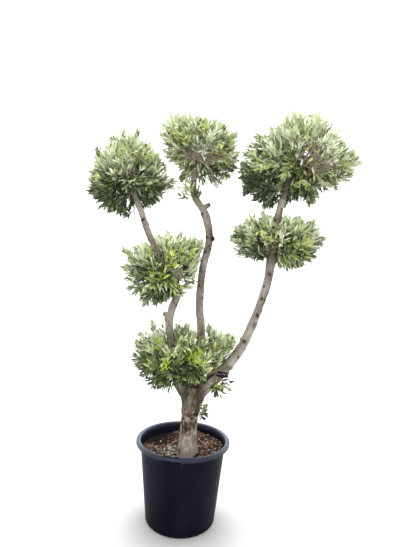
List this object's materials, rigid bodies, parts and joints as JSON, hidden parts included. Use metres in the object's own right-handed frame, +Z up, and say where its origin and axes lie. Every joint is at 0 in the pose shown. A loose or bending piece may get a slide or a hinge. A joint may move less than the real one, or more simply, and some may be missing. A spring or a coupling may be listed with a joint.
{
  "type": "cloud-pruned olive tree in a nursery pot",
  "caption": "Olive tree with a short trunk and curved boughs that carry clipped balls of narrow grey-green leaves, growing in a round black nursery pot.",
  "frame": {"origin": "middle of the pot's flat underside", "axes": "+Z up along the pot's axis, +X towards the bough that leans out furthest, +Y towards the back of the tree"},
  "size_m": [1.4684, 0.5986, 2.2746],
  "materials": {
    "pot": "satin black polypropylene, moulded",
    "compost": "loose bark compost, matt",
    "bark": "grey-brown olive bark, matt, finely cracked",
    "tie": "black soft plastic strap",
    "foliage": "narrow leathery leaves, grey-green above and silvery below"
  },
  "bodies": {
    "root": {"pot": "pot", "compost": "compost", "trunk": "bark", "right_bough": "bark", "left_bough": "bark", "middle_bough": "bark", "tie_band": "tie", "cloud_bottom": "foliage", "cloud_mid_left": "foliage", "cloud_mid_right": "foliage", "cloud_top_left": "foliage", "cloud_top_middle": "foliage", "cloud_top_right": "foliage", "tuft_trunk": "foliage", "tuft_fork": "foliage", "tuft_middle_bough": "foliage"}
  },
  "joints": []
}
